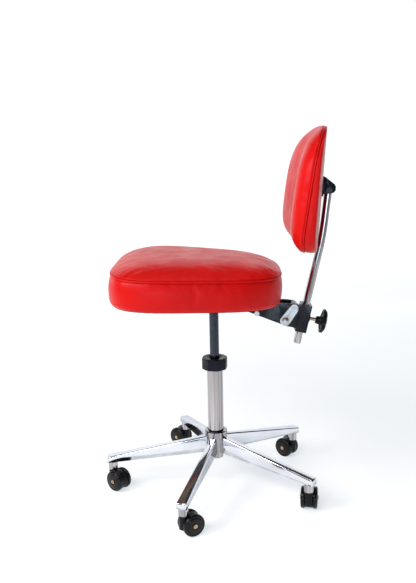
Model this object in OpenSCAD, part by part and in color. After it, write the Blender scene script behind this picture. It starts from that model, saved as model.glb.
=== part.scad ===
// Swivel work chair: five-arm base on twin-wheel castors, clamped telescopic column,
// boxed round-cornered seat and a curved back pad on a sliding, tilting post.
// Millimetres. +Z up, the sitter faces -Y, and the origin is on the floor under the column.

/* [Base] */
// Distance from the column's axis to the end of an arm
arm_reach = 266; // [240:1:300]
// Height of an arm's upper face at its end
arm_tip_z = 81; // [80:0.5:82]
// Height of an arm's upper face at the hub
arm_hub_z = 127; // [120:1:135]
// Turn of the base under the seat, in degrees
base_turn = 2.6; // [-36:0.1:36]

/* [Castors] */
// Wheel diameter
wheel_d = 50; // [48:0.5:51]
// Width of one wheel
wheel_w = 10.5; // [9:0.5:12]
// Horizontal distance from the swivel stem to the axle
trail = 18; // [17:0.5:20]

/* [Column] */
// Outer diameter of the chrome column
column_d = 37; // [35:0.5:38]
// Height of the column's upper end
column_top = 314; // [300:1:318]
// Outer diameter of the sliding spindle
spindle_d = 22; // [20:0.5:23]
// Width of the clamping collar across its flats
collar_flats = 56.5; // [52:0.5:62]

/* [Seat] */
// Half of the seat's width at its middle
seat_half_w = 188; // [170:1:210]
// Half of the seat's depth
seat_half_d = 192; // [170:1:210]
// Height of the seat's underside at the column
seat_z = 472; // [470:1:480]
// Rearward slope of the seat, in degrees
seat_slope = 3; // [0:0.5:4]

/* [Back] */
// Half of the pad's width
pad_half_w = 168; // [150:1:190]
// Half of the pad's height
pad_half_h = 135; // [110:1:140]
// Lean of the back post from vertical, in degrees
post_lean = 12.9; // [10:0.1:15]

/* [Hidden] */

$fn = 64;
arms = 5;
gap = 0.05;      // radial clearance of a seated or running part
clear = 0.2;     // clearance between soft layers
cut = 1;         // how far a cutter runs past a face

// --- base ---------------------------------------------------------------
arm_angles = [for (i = [0:arms - 1]) -90 + base_turn + 360 / arms * i];
arm_sheet = 2;
arm_in_r = 17;           // the arms meet the hub tube here
arm_top_r = 27;          // radius at which arm_hub_z is reached
arm_w_hub = 15;
arm_w_tip = 24;
arm_h_hub = 38;
arm_h_tip = 14;
arm_root_r = 10;

hub_ring_r = 27;
hub_ring_h = 16;
hub_tube_r = arm_in_r - gap;
hub_bore_r = 14.5;
hub_foot_z = 74;
hub_recess_r = 20.5;
hub_recess_h = 2.5;
hub_top_z = arm_hub_z + gap + hub_ring_h;
column_foot_z = arm_hub_z + 4;

// --- castors ------------------------------------------------------------
// Direction in which each castor trails behind its stem, in degrees
trail_angles = [51, 121, 171, 230, 233];
stem_r = arm_reach - 14.5;   // distance of the stems from the column's axis
socket_r = 11;
socket_neck_r = 9.5;
socket_foot_z = 49;
pin_r = 5.5;
pin_top_z = 74;
wheel_r = wheel_d / 2;
hood_w = 18;
hood_r = wheel_r - 2;
hood_top_z = socket_foot_z - 0.5;
boss_r = 10.2;
side_gap = 0.4;
axle_r = 3;
cap_r = 4.6;
cap_h = 1.2;

// --- column -------------------------------------------------------------
column_r = column_d / 2;
column_bore_r = column_r - 2;
bush_len = 52;
collar_z = 297;
collar_h = 27;
collar_lip = 9;             // length of the narrow part above the column's end
spindle_r = spindle_d / 2;
spindle_foot_z = 226;
spindle_top_z = 462;
nose_h = 22;                // the spindle's narrow end, which carries the seat
nose_r = 9;
shoulder_z = spindle_top_z - nose_h;
bearing_h = 7;
bearing_r = 14.5;
guide_h = 22;

// --- seat ---------------------------------------------------------------
seat_n = [3.7, 3.7];        // exponents of the seat's outline, behind and in front of its middle
seat_taper = -0.21;         // the outline narrows towards the back
seat_y = -38;
seat_seam = 66;             // height of the seam above the seat's underside
seat_crown = 25;
seam_in = 2.5;              // distance of the seam and top panel inside the outline
crown_n = 4.2;              // exponent of the crown's profile
seat_edge_r = 12;
seat_lip = 34;              // how far the cover is turned in under the board
cover_t = 1.2;
board_t = 12;
piping_r = 2.1;
groove = 2.2;               // half of the height of the seam's groove
rim = 6;                    // height of the top panel's edge above the seam
steps = 40;                 // points round a soft outline
crown_shares = [0.04, 0.2, 0.35, 0.5, 0.62, 0.72, 0.8, 0.87, 0.93, 0.97, 1];

plate_t = 3;
plate_top = cover_t + clear - gap;      // in the seat's frame
plate_foot = plate_top - plate_t;
boss_foot_z = 434;
boss_out_r = 20;
plate_half = 95;
screw_r = 3;
seat_screw_at = [[-70, -60], [70, -60], [-70, 60], [70, 60]];

// --- back mechanism, in the plane X = 0 as [y, z] ------------------------
pivot = [164.8, 416];
link_pin = [185.1, 444];
post_mid = [207.6, 418.5];  // point of the post's axis at the middle of the clamp
clamp_half_l = 32.5;
clamp_w = 39;
clamp_d = 26;
cheek_in = 20;
cheek_t = 3;
link_t = 3;
pivot_r = 5;
link_bolt_r = 3.5;
tilt_back = 12;             // travel of the tilt, in degrees
tilt_front = 3;
post_w = 28;
post_d = 16;
post_wall = 2;
post_foot = -62;            // ends of the straight part, along the post from post_mid
post_knee = 152;
bend_r = 700;
bend_angle = 6.2;
bend_len = bend_r * bend_angle * PI / 180;
post_top = 80;              // straight length above the bend
stud_r = 4;
shoe_t = 1.5;
shoe_gap = 0.1;
knob_r = 28.5;
knob_hub_r = 9.5;
knob_in = 30;               // distances from the post's axis along the stud
knob_disc = 43;
knob_out = 54;

// --- back pad -----------------------------------------------------------
pad_n = [3, 5.5];           // exponents of the pad's outline, above and below its middle
pad_r = 620;                // radius of the pad's curve, seen from above
pad_lean = 4.1;
pad_at = [0, 245.2, 717.3]; // centre of the pad's rear face
pad_seam = 17;              // depth of the side band at mid height
pad_seam_slope = 0.08;      // the band grows towards the lower edge
pad_crown = 34;
pad_valley = 9;             // depth of the hollow down the middle of the pad's front
pad_valley_r = 62;
pad_crown_side_n = 9;       // exponents of the crown's profile towards the sides and the ends
pad_crown_end_n = 4.5;
pad_groove = 1.8;
pad_board_t = 8;
pad_board_gap = 0.7;        // room that the curved board leaves on either side
pad_rear_shares = [0.12, 0.3, 0.5, 0.68, 0.84, 0.95];
pad_board_in = 13;          // distance of the board's edge inside the pad's outline
pad_piping_r = 1.7;
pad_pin_at = [262.5, 712.5];
pad_pin_r = 4;
ear_in = 15;
ear_t = 2.5;

// ======================= shared shapes ==================================

// Points of a superellipse of half-axes a and b, its width changing by taper along y. n holds the
// exponents of its halves above and below y = 0.
function outline(a, b, n, taper = 0) =
    [for (i = [0:steps - 1])
        let (t = 360 * (i + 0.5) / steps, c = cos(t), s = sin(t), power = 2 / (s > 0 ? n[0] : n[1]),
             y = sign(s) * pow(abs(s), power))
        [a * sign(c) * pow(abs(c), power) * (1 + taper * y), b * y]];

// Closed solid through a list of rings with the same number of points. With hoop true the last
// ring joins the first and there are no end faces.
module loft(rings, hoop = false) {
    n = len(rings[0]);
    count = len(rings);
    sides = [for (k = [0:count - (hoop ? 1 : 2)]) for (i = [0:n - 1])
        let (j = (i + 1) % n, here = k * n, next = ((k + 1) % count) * n)
        each [[here + i, next + i, next + j], [here + i, next + j, here + j]]];
    ends = hoop ? [] : [[for (i = [0:n - 1]) i], [for (i = [1:n]) count * n - i]];
    polyhedron([for (r = rings) each r], concat(ends, sides));
}

// Tube of radius r round a closed path that lies roughly square to the direction facing
module closed_tube(path, r, facing = [0, 0, 1], sides = 6) {
    n = len(path);
    function unit(v) = v / norm(v);
    points = [for (i = [0:n - 1])
        let (along = unit(path[(i + 1) % n] - path[(i + n - 1) % n]),
             over = unit(cross(along, facing)),
             up = cross(over, along))
        each [for (k = [0:sides - 1]) path[i] + r * (cos(360 * k / sides) * over + sin(360 * k / sides) * up)]];
    polyhedron(points,
        [for (i = [0:n - 1]) for (k = [0:sides - 1])
            let (i2 = (i + 1) % n, k2 = (k + 1) % sides)
            each [[i * sides + k, i * sides + k2, i2 * sides + k2],
                  [i * sides + k, i2 * sides + k2, i2 * sides + k]]]);
}

// One list of rings that runs along the outside and returns along the inside
function there_and_back(outside, inside) =
    concat(outside, [for (i = [1:len(inside)]) inside[len(inside) - i]]);

module at_each_arm() {
    for (a = arm_angles) rotate([0, 0, a]) children();
}

module at_stem(i) {
    rotate([0, 0, arm_angles[i - 1]]) translate([stem_r, 0, 0])
        rotate([0, 0, trail_angles[i - 1] - arm_angles[i - 1]]) children();
}

// Flat-sided oval, w wide and d deep
module oval(w, d) {
    square([w - d, d], center = true);
    for (s = [-1, 1]) translate([s * (w - d) / 2, 0]) circle(d = d);
}

// Frame of the post: +Z along it, +Y out of its rear face, origin at the clamp's middle
module on_post() {
    translate([0, post_mid[0], post_mid[1]]) rotate([-post_lean, 0, 0]) children();
}

// A shape drawn as [y, z] and carried along X from x0 to x1
module side_plate(x0, x1) {
    translate([x0, 0, 0]) rotate([90, 0, 90]) linear_extrude(x1 - x0) children();
}

module rod_x(p, r, x0, x1) {
    translate([x0, p[0], p[1]]) rotate([0, 90, 0]) cylinder(r = r, h = x1 - x0);
}

// ======================= base ===========================================

// Solid arm, inset by t on its top, sides and end, and open below where t is above zero
module arm_body(t) {
    low = t > 0 ? 50 : 0;
    end_r = arm_reach - t;
    intersection() {
        rotate([90, 0, 0]) linear_extrude(60, center = true)
            polygon([[arm_root_r, arm_hub_z - arm_h_hub - low], [arm_root_r, arm_hub_z - t],
                     [arm_top_r, arm_hub_z - t], [end_r, arm_tip_z - t], [end_r, arm_tip_z - arm_h_tip - low]]);
        linear_extrude(2 * arm_hub_z)
            polygon([for (s = [-1, 1]) for (r = s < 0 ? [arm_root_r, arm_reach] : [arm_reach, arm_root_r])
                [r, s * ((r > arm_root_r ? arm_w_tip : arm_w_hub) / 2 - t)]]);
    }
}

module base_arm(i) {
    color("silver") rotate([0, 0, arm_angles[i - 1]]) difference() {
        arm_body(0);
        arm_body(arm_sheet);
        cylinder(r = arm_in_r, h = 2 * arm_hub_z);
    }
}

module base_hub() {
    color("silver") difference() {
        union() {
            translate([0, 0, hub_foot_z]) cylinder(r = hub_tube_r, h = hub_top_z - hub_foot_z);
            translate([0, 0, hub_top_z - hub_ring_h]) cylinder(r = hub_ring_r, h = hub_ring_h - 1.5);
            translate([0, 0, hub_top_z - 1.5]) cylinder(r1 = hub_ring_r, r2 = hub_ring_r - 1.5, h = 1.5);
        }
        translate([0, 0, hub_foot_z - cut]) cylinder(r = hub_bore_r, h = hub_top_z);
        translate([0, 0, column_foot_z]) cylinder(r = column_r + gap, h = hub_top_z);
        translate([0, 0, hub_top_z - hub_recess_h]) cylinder(r = hub_recess_r, h = hub_recess_h + cut);
    }
}

module caster_sockets() {
    color("silver") at_each_arm() translate([stem_r, 0, 0]) difference() {
        union() {
            translate([0, 0, socket_foot_z]) cylinder(r = socket_r, h = arm_tip_z - arm_h_tip - gap - socket_foot_z);
            translate([0, 0, socket_foot_z]) cylinder(r = socket_neck_r, h = arm_tip_z - arm_sheet - 1 - socket_foot_z);
        }
        translate([0, 0, socket_foot_z - cut]) cylinder(r = pin_r + gap, h = pin_top_z + 0.5 - socket_foot_z + cut);
    }
}

// ======================= castors ========================================

module wheel_profile() {
    polygon(concat(
        [[axle_r + gap, 0], [wheel_r - 1.5, 0]],
        [for (a = [-90:15:0]) [wheel_r - 1.5 + 1.5 * cos(a), 1.5 + 1.5 * sin(a)]],
        [for (a = [0:15:90]) [wheel_r - 4 + 4 * cos(a), wheel_w - 5 + 4 * sin(a)]],
        [[wheel_r - 5, wheel_w - 1.8], [wheel_r - 6, wheel_w - 1.8], [wheel_r - 7, wheel_w - 0.9],
         [10, wheel_w], [axle_r + gap, wheel_w]]));
}

module caster_wheel(i, side) {
    color([0.05, 0.05, 0.05]) at_stem(i) translate([trail, 0, wheel_r])
        rotate([-90 * side, 0, 0]) translate([0, 0, hood_w / 2 + side_gap])
            rotate_extrude() wheel_profile();
}

module caster_body(i) {
    color([0.07, 0.07, 0.07]) at_stem(i) difference() {
        union() {
            translate([trail, 0, wheel_r]) rotate([90, 0, 0])
                cylinder(r = hood_r, h = hood_w, center = true);
            translate([0, 0, wheel_r - 8]) cylinder(r = boss_r, h = hood_top_z - wheel_r + 8);
            translate([0, -boss_r + 0.8, wheel_r]) cube([trail, 2 * boss_r - 1.6, hood_top_z - 3 - wheel_r]);
        }
        translate([trail, 0, wheel_r]) rotate([90, 0, 0])
            cylinder(r = axle_r + gap, h = hood_w + 2 * boss_r, center = true);
        translate([0, 0, wheel_r - 2]) cylinder(r = pin_r + gap, h = wheel_r + cut);
        for (s = [-1, 1]) translate([trail, s * (hood_w / 2 + 2.5), wheel_r]) rotate([90, 0, 0])
            cylinder(r = wheel_r + 0.6, h = 5, center = true);
    }
}

module caster_stem(i) {
    color("gainsboro") at_stem(i) {
        translate([0, 0, wheel_r - 1.5]) cylinder(r = pin_r, h = pin_top_z - 1 - wheel_r + 1.5);
        translate([0, 0, pin_top_z - 1]) cylinder(r1 = pin_r, r2 = pin_r - 1, h = 1);
    }
}

module caster_axle(i) {
    half = hood_w / 2 + side_gap + wheel_w;
    color("burlywood") at_stem(i) translate([trail, 0, wheel_r]) rotate([90, 0, 0]) difference() {
        union() {
            cylinder(r = axle_r, h = 2 * half, center = true);
            for (s = [-1, 1]) translate([0, 0, s * (half + 0.1 + cap_h / 2)])
                cylinder(r = cap_r, h = cap_h, center = true);
            cylinder(r = axle_r, h = 2 * (half + 0.1 + cap_h / 2), center = true);
        }
        for (s = [-1, 1]) translate([0, 0, s * (half + cap_h)]) cylinder(r = 1.3, h = 4, center = true);
    }
}

// ======================= column =========================================

module column_tube() {
    color("silver") translate([0, 0, column_foot_z + gap]) difference() {
        cylinder(r = column_r, h = column_top - column_foot_z - gap);
        translate([0, 0, -cut]) cylinder(r = column_bore_r, h = column_top);
    }
}

module column_bush() {
    color("ivory") translate([0, 0, column_top - bush_len]) difference() {
        union() {
            cylinder(r = column_bore_r - gap, h = bush_len);
            translate([0, 0, bush_len + gap]) cylinder(r = column_r - 0.5, h = 0.6);
            cylinder(r = spindle_r + 2, h = bush_len + gap + 0.6);
        }
        translate([0, 0, -cut]) cylinder(r = spindle_r + gap, h = bush_len + 3 * cut);
    }
}

module clamp_collar() {
    corner_r = collar_flats / 2 / cos(22.5);
    color([0.08, 0.08, 0.1]) difference() {
        intersection() {
            translate([0, 0, collar_z]) rotate([0, 0, 14]) cylinder(r = corner_r, h = collar_h, $fn = 8);
            union() {
                translate([0, 0, collar_z]) cylinder(r1 = corner_r - 1.2, r2 = corner_r + 1, h = 2.2);
                translate([0, 0, collar_z + 2.2]) cylinder(r = corner_r + 1, h = collar_h - 5.2);
                translate([0, 0, collar_z + collar_h - 3])
                    cylinder(r1 = corner_r + 1, r2 = corner_r - 2.2, h = 3);
            }
        }
        translate([0, 0, collar_z - cut]) cylinder(r = column_r + gap, h = collar_h - collar_lip + cut);
        translate([0, 0, collar_z]) cylinder(r = spindle_r + 0.6, h = collar_h + cut);
        translate([0, 0, collar_z + collar_h - 3]) cylinder(r1 = spindle_r + 0.6, r2 = spindle_r + 7, h = 3 + gap);
    }
}

module spindle() {
    color([0.06, 0.06, 0.07]) difference() {
        union() {
            translate([0, 0, spindle_foot_z]) cylinder(r = spindle_r, h = shoulder_z - spindle_foot_z);
            translate([0, 0, shoulder_z]) cylinder(r = nose_r, h = nose_h);
        }
        translate([0, 0, spindle_foot_z - cut]) cylinder(r = spindle_r - 3, h = shoulder_z - 12 - spindle_foot_z);
    }
}

module spindle_guide() {
    color("ivory") translate([0, 0, spindle_foot_z - 3]) difference() {
        cylinder(r = column_bore_r - 0.4, h = guide_h);
        translate([0, 0, 3]) cylinder(r = spindle_r + gap, h = guide_h);
        translate([0, 0, -cut]) cylinder(r = spindle_r - 4, h = guide_h);
    }
}

module swivel_bearing() {
    color("gainsboro") translate([0, 0, shoulder_z + gap]) difference() {
        cylinder(r = bearing_r, h = bearing_h);
        translate([0, 0, -cut]) cylinder(r = nose_r + gap, h = bearing_h + 2 * cut);
        translate([0, 0, bearing_h / 2]) difference() {
            cylinder(r = bearing_r + cut, h = 0.8, center = true);
            cylinder(r = bearing_r - 1.5, h = 2, center = true);
        }
    }
}

// ======================= seat ===========================================

// Frame of the seat: origin on its underside at the column's axis
module on_seat() {
    translate([0, 0, seat_z]) rotate([-seat_slope, 0, 0]) children();
}

function seat_ring(inset, z, k = 1) =
    [for (p = outline(k * (seat_half_w - inset), k * (seat_half_d - inset), seat_n, seat_taper))
        [p[0], p[1] + seat_y, z]];

// Inset, height and share of the outline along the seat's surface, e mm inside it, middle first
function crown_profile(e) = [for (t = crown_shares)
    [e + seam_in, seat_seam + rim + seat_crown * (1 - pow(t, crown_n)) - e, t]];
function seam_profile(e) =
    [[e + seam_in, seat_seam + groove + e, 1], [2 * groove + e + seam_in, seat_seam + groove + e, 1],
     [2 * groove + e + seam_in, seat_seam - groove - e, 1], [e + seam_in, seat_seam - groove - e, 1]];
function band_profile(e) = [[e - 1.5, seat_seam - 18, 1], [e - 2, seat_seam / 2, 1], [e - 1.2, seat_edge_r + 6, 1]];
function edge_profile(e) = [for (a = [0:22.5:90])
    [seat_edge_r - (seat_edge_r - e) * cos(a), seat_edge_r - (seat_edge_r - e) * sin(a), 1]];

function seat_cover_profile(e) =
    concat(crown_profile(e), seam_profile(e), band_profile(e), edge_profile(e), [[seat_lip, e, 1]]);

module seat_cover() {
    color([0.75, 0.05, 0.04]) on_seat()
        loft([for (p = there_and_back(seat_cover_profile(0), seat_cover_profile(cover_t))) seat_ring(p[0], p[1], p[2])]);
}

module seat_foam() {
    e = cover_t + clear;
    profile = concat(crown_profile(e), seam_profile(e), band_profile(e),
                     [[e, board_t + cover_t + 2 * clear, 1]]);
    color("khaki") on_seat() loft([for (p = profile) seat_ring(p[0], p[1], p[2])]);
}

module seat_board() {
    color("tan") on_seat() translate([0, 0, cover_t + clear]) difference() {
        linear_extrude(board_t)
            polygon([for (p = seat_ring(seat_edge_r + 3, 0)) [p[0], p[1]]]);
        for (p = seat_screw_at) translate([p[0], p[1], -cut]) cylinder(r = screw_r + gap, h = board_t + 2 * cut);
    }
}

module seat_piping() {
    color([0.7, 0.04, 0.04]) on_seat() closed_tube(seat_ring(seam_in + 0.8, seat_seam), piping_r);
}

module seat_plate() {
    color([0.08, 0.08, 0.09]) difference() {
        union() {
            on_seat() translate([-plate_half, -plate_half, plate_foot])
                cube([2 * plate_half, 2 * plate_half, plate_t]);
            translate([0, 0, boss_foot_z]) cylinder(r = boss_out_r, h = seat_z - 0.4 - boss_foot_z);
        }
        translate([0, 0, boss_foot_z - cut])
            cylinder(r = bearing_r + 0.5, h = shoulder_z + bearing_h + 2 * gap - boss_foot_z + cut);
        translate([0, 0, boss_foot_z]) cylinder(r = nose_r + gap, h = spindle_top_z + 0.5 - boss_foot_z);
        on_seat() for (p = seat_screw_at) translate([p[0], p[1], -10]) cylinder(r = screw_r + gap, h = 20);
    }
}

module seat_screws() {
    color("gainsboro") on_seat() for (p = seat_screw_at) translate([p[0], p[1], 0]) {
        translate([0, 0, plate_foot - 2 * gap]) cylinder(r = screw_r, h = plate_t + board_t - 2);
        translate([0, 0, plate_foot - gap - 4]) cylinder(r = 5.8, h = 4, $fn = 6);
    }
}

// ======================= back mechanism =================================

// Side view of a cheek as [y, z]; its upper edge is trimmed by the seat's plate
cheek_shape = [[58, 480], [58, 450], [82, 437], [156, 407.5], [180, 400.5], [188, 397], [193, 404],
               [196, 424], [194, 444], [189, 451], [180, 455.5], [166, 457], [148, 457.5], [140, 480]];
bracket_bolt_at = [99.5, 434];

// Slot that the link bolt runs in, as the band that its circle sweeps
module tilt_slot() {
    reach = norm(link_pin - pivot);
    at = atan2(link_pin[1] - pivot[1], link_pin[0] - pivot[0]);
    first = at - tilt_back;
    last = at + tilt_front;
    r = link_bolt_r + 0.3;
    function about(p, radius, angle) = p + radius * [cos(angle), sin(angle)];
    translate(pivot) polygon(concat(
        [for (k = [0:4]) about([0, 0], reach + r, first + (last - first) * k / 4)],
        [for (a = [30:30:150]) about(about([0, 0], reach, last), r, last + a)],
        [for (k = [4:-1:0]) about([0, 0], reach - r, first + (last - first) * k / 4)],
        [for (a = [210:30:330]) about(about([0, 0], reach, first), r, first + a)]));
}

module back_bracket() {
    color([0.08, 0.09, 0.13]) {
        difference() {
            for (x = [-cheek_in - cheek_t, cheek_in]) side_plate(x, x + cheek_t) difference() {
                polygon(cheek_shape);
                translate(pivot) circle(r = pivot_r + gap);
                tilt_slot();
                translate(bracket_bolt_at) circle(r = 3 + gap);
            }
            on_seat() translate([-50, 0, plate_foot - gap]) cube([100, 200, 50]);
        }
        on_seat() translate([-cheek_in - 0.5, 60, plate_foot - gap - cheek_t])
            cube([2 * cheek_in + 1, 84, cheek_t]);
    }
}

module bracket_bolts() {
    reach = cheek_in + cheek_t;
    color("gainsboro") {
        rod_x(bracket_bolt_at, 3, -reach - 1, reach + 1);
        for (s = [-1, 1]) mirror([s < 0 ? 1 : 0, 0, 0]) {
            rod_x(bracket_bolt_at, 6, reach + gap, reach + 3.5);
            rod_x(bracket_bolt_at, 4.5, reach + gap, reach + 4.6);
        }
    }
}

module back_clamp() {
    half = cheek_in - 0.6;
    color([0.07, 0.07, 0.09]) difference() {
        union() {
            on_post() translate([-clamp_w / 2, -clamp_d / 2, -clamp_half_l]) cube([clamp_w, clamp_d, 2 * clamp_half_l]);
            on_post() rotate([-90, 0, 0]) cylinder(r = 9, h = clamp_d / 2 + 3);
            side_plate(-half, half) polygon([[157, 406], [166, 402], [198, 396], [208, 440], [186, 454], [178, 448]]);
            rod_x(pivot, 12, -half, half);
            rod_x(link_pin, 10, -half, half);
        }
        on_post() translate([0, 0, -60]) linear_extrude(120) oval(post_w + 0.5, post_d + 0.5);
        on_post() rotate([-90, 0, 0]) cylinder(r = stud_r + gap, h = 40);
        rod_x(pivot, pivot_r + gap, -50, 50);
        rod_x(link_pin, link_bolt_r + gap, -50, 50);
    }
}

module tilt_links() {
    x0 = cheek_in + cheek_t + 0.2;
    color("gainsboro") for (s = [0, 1]) mirror([s, 0, 0]) side_plate(x0, x0 + link_t) difference() {
        union() {
            translate(pivot) circle(r = 12);
            translate(link_pin) circle(r = 10);
            translate(pivot) rotate(atan2(link_pin[1] - pivot[1], link_pin[0] - pivot[0]))
                polygon([[0.69, -12], [norm(link_pin - pivot) + 0.58, -10],
                         [norm(link_pin - pivot) + 0.58, 10], [0.69, 12]]);
        }
        translate(pivot) circle(r = pivot_r + gap);
        translate(link_pin) circle(r = link_bolt_r + gap);
    }
}

module dome(r, h) {
    ball = (r * r + h * h) / (2 * h);
    intersection() {
        translate([0, 0, h - ball]) sphere(r = ball);
        cylinder(r = r, h = h);
    }
}

module pivot_bolt() {
    x0 = cheek_in + cheek_t + 0.2 + link_t + gap;
    color("gainsboro") {
        rod_x(pivot, pivot_r, -x0 - 0.5, x0 + 0.5);
        for (s = [0, 1]) mirror([s, 0, 0]) translate([x0, pivot[0], pivot[1]]) rotate([0, 90, 0]) {
            cylinder(r = 9.2, h = 1.2);
            translate([0, 0, 1.2]) dome(8.4, 4);
        }
    }
}

module link_bolt() {
    x0 = cheek_in + cheek_t + 0.2 + link_t + gap;
    color("silver") {
        rod_x(link_pin, link_bolt_r, -x0 - 0.5, x0 + 0.5);
        for (s = [0, 1]) mirror([s, 0, 0]) {
            rod_x(link_pin, 6.3, x0, x0 + 1);
            rod_x(link_pin, link_bolt_r, x0, x0 + 2.6);
        }
    }
}

module clamp_shoe() {
    color("burlywood") on_post() translate([0, post_d / 2 + shoe_gap, 0]) rotate([-90, 0, 0])
        cylinder(r = stud_r - 0.2, h = shoe_t);
}

module knob_stud() {
    color("goldenrod") on_post() rotate([-90, 0, 0])
        translate([0, 0, post_d / 2 + shoe_gap + shoe_t + gap]) cylinder(r = stud_r, h = knob_disc - post_d / 2 - 2);
}

module knob() {
    lobes = 7;
    color([0.05, 0.05, 0.06]) on_post() rotate([-90, 0, 0]) difference() {
        union() {
            translate([0, 0, knob_in]) cylinder(r1 = knob_hub_r - 1, r2 = knob_hub_r + 1.5, h = knob_disc + 2 - knob_in);
            difference() {
                union() {
                    translate([0, 0, knob_disc]) cylinder(r1 = knob_r - 1.5, r2 = knob_r, h = 1.5);
                    translate([0, 0, knob_disc + 1.5]) cylinder(r = knob_r, h = 5);
                    translate([0, 0, knob_disc + 6.5]) cylinder(r1 = knob_r, r2 = knob_r - 6, h = knob_out - knob_disc - 6.5);
                }
                for (i = [0:lobes - 1]) rotate([0, 0, 360 / lobes * i + 12])
                    translate([knob_r + 5, 0, knob_disc - cut]) cylinder(r = 9, h = 20);
                translate([0, 0, knob_disc - cut]) difference() {
                    cylinder(r = knob_r - 5, h = 3 + cut);
                    translate([0, 0, -cut]) cylinder(r = knob_hub_r + 3, h = 10);
                }
            }
        }
        translate([0, 0, knob_in - cut]) cylinder(r = stud_r + gap, h = knob_disc + 2.5 - knob_in);
    }
}

// Points of a flat-sided oval, w wide and d deep
function oval_points(w, d) =
    [for (a = [0:15:345]) let (c = cos(a)) [(a % 180 == 90 ? 0 : sign(c)) * (w - d) / 2 + d / 2 * c, d / 2 * sin(a)]];

// Ring of the post at a distance s along it, with the oval drawn smaller by t all round
function post_ring(s, t) =
    let (a = min(bend_angle, max(0, (s - post_knee) / bend_r * 180 / PI)),
         after = max(0, s - post_knee - bend_len),
         y = -bend_r * (1 - cos(a)) - after * sin(a),
         z = min(s, post_knee) + bend_r * sin(a) + after * cos(a))
    [for (p = oval_points(post_w - 2 * t, post_d - 2 * t)) [p[0], y + p[1] * cos(a), z + p[1] * sin(a)]];

module back_post() {
    stations = concat([post_foot], [for (k = [0:8]) post_knee + bend_len * k / 8],
                      [post_knee + bend_len + post_top]);
    last = len(stations) - 1;
    color("silver") difference() {
        on_post() loft(concat([for (i = [0:last]) post_ring(stations[last - i], 0)],
                              [for (s = stations) post_ring(s, post_wall)]), hoop = true);
        rod_x(pad_pin_at, pad_pin_r + gap, -40, 40);
    }
}

// ======================= back pad =======================================

// Frame of the pad: origin at the middle of its rear face, front towards -Y
module on_pad() {
    translate(pad_at) rotate([-pad_lean, 0, 0]) children();
}

// Ring of the pad at share k of its outline, inset from it, at a depth in front of the rear face.
// taper is how much of the band's taper applies there, and crown how much of the crown.
function pad_ring(inset, depth, taper = 0, k = 1, crown = 0) =
    [for (p = outline(k * (pad_half_w - inset), k * (pad_half_h - inset), pad_n))
        let (up = pow(sin(atan2(p[1] / pad_half_h, p[0] / pad_half_w)), 2),
             n = pad_crown_side_n + (pad_crown_end_n - pad_crown_side_n) * up)
        [p[0], -p[0] * p[0] / (2 * pad_r) - depth + taper * pad_seam_slope * p[1]
            - crown * (1 - pow(k, n))
            + (crown > 0 ? pad_valley * exp(-pow(p[0] / pad_valley_r, 2)) * (1 - k * k) : 0), p[1]]];

// Inset, depth, taper, share of the outline and crown along the pad's surface, e mm inside it
function pad_crown_profile(e) = [for (t = crown_shares) [e, pad_seam + rim - e, 1, t, pad_crown]];
function pad_seam_profile(e) =
    [[e, pad_seam + pad_groove + e, 1, 1, 0], [2 * pad_groove + e, pad_seam + pad_groove + e, 1, 1, 0],
     [2 * pad_groove + e, pad_seam - pad_groove - e, 1, 1, 0], [e, pad_seam - pad_groove - e, 1, 1, 0]];
function pad_rear_profile(e) =
    concat([[e, 3 + e, 0.1, 1, 0], [e + 2, e + 1, 0, 1, 0]], [for (i = [5:-1:0]) [e, e, 0, pad_rear_shares[i], 0]]);
function pad_cover_profile(e) = concat(pad_crown_profile(e), pad_seam_profile(e), pad_rear_profile(e));

module back_cover() {
    color([0.75, 0.05, 0.04]) on_pad()
        loft([for (p = there_and_back(pad_cover_profile(0), pad_cover_profile(cover_t)))
            pad_ring(p[0], p[1], p[2], p[3], p[4])]);
}

module back_foam() {
    e = cover_t + clear;
    rear = concat([[2 * pad_groove + e, pad_seam + pad_groove + e, 1, 0.98, 0]],
                  [for (i = [4:-1:0]) [e, cover_t + pad_board_t + 2 * pad_board_gap, 0, pad_rear_shares[i], 0]]);
    color("khaki") on_pad() loft([for (p = concat(pad_crown_profile(e), [pad_seam_profile(e)[0]], rear))
        pad_ring(p[0], p[1], p[2], p[3], p[4])]);
}

module back_board() {
    shares = concat(pad_rear_shares, [1]);
    rear = cover_t + pad_board_gap;
    rings = concat([for (t = shares) pad_ring(pad_board_in, rear + pad_board_t, 0, t)],
                   [for (i = [len(shares) - 1:-1:0]) pad_ring(pad_board_in, rear, 0, shares[i])]);
    color("tan") on_pad() loft(rings);
}

module back_piping() {
    color([0.7, 0.04, 0.04]) on_pad() closed_tube(pad_ring(0.6, pad_seam, 1), pad_piping_r, [0, 1, 0]);
}

// Side view of an ear of the pad's bracket as [y, z]
ear_shape = [[249, 743], [254, 742], [275, 725], [277.5, 720], [277, 711], [272, 706], [249, 703]];

module pad_bracket() {
    color([0.05, 0.05, 0.06]) difference() {
        union() {
            on_pad() translate([-24, 0.2, -18]) cube([48, 4.5, 44]);
            for (s = [0, 1]) mirror([s, 0, 0]) side_plate(ear_in, ear_in + ear_t) polygon(ear_shape);
            side_plate(-ear_in - 0.1, ear_in + 0.1)
                polygon([[249, 743], [254, 742], [275, 725], [273.4, 723], [253, 739.6], [249, 740.4]]);
        }
        rod_x(pad_pin_at, pad_pin_r + gap, -40, 40);
    }
}

module pad_pin() {
    reach = ear_in + ear_t;
    color("gainsboro") {
        rod_x(pad_pin_at, pad_pin_r, -reach - 1, reach + 1);
        for (s = [0, 1]) mirror([s, 0, 0]) rod_x(pad_pin_at, 6.5, reach + gap, reach + 3);
    }
}

// ======================= nodes ==========================================

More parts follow.
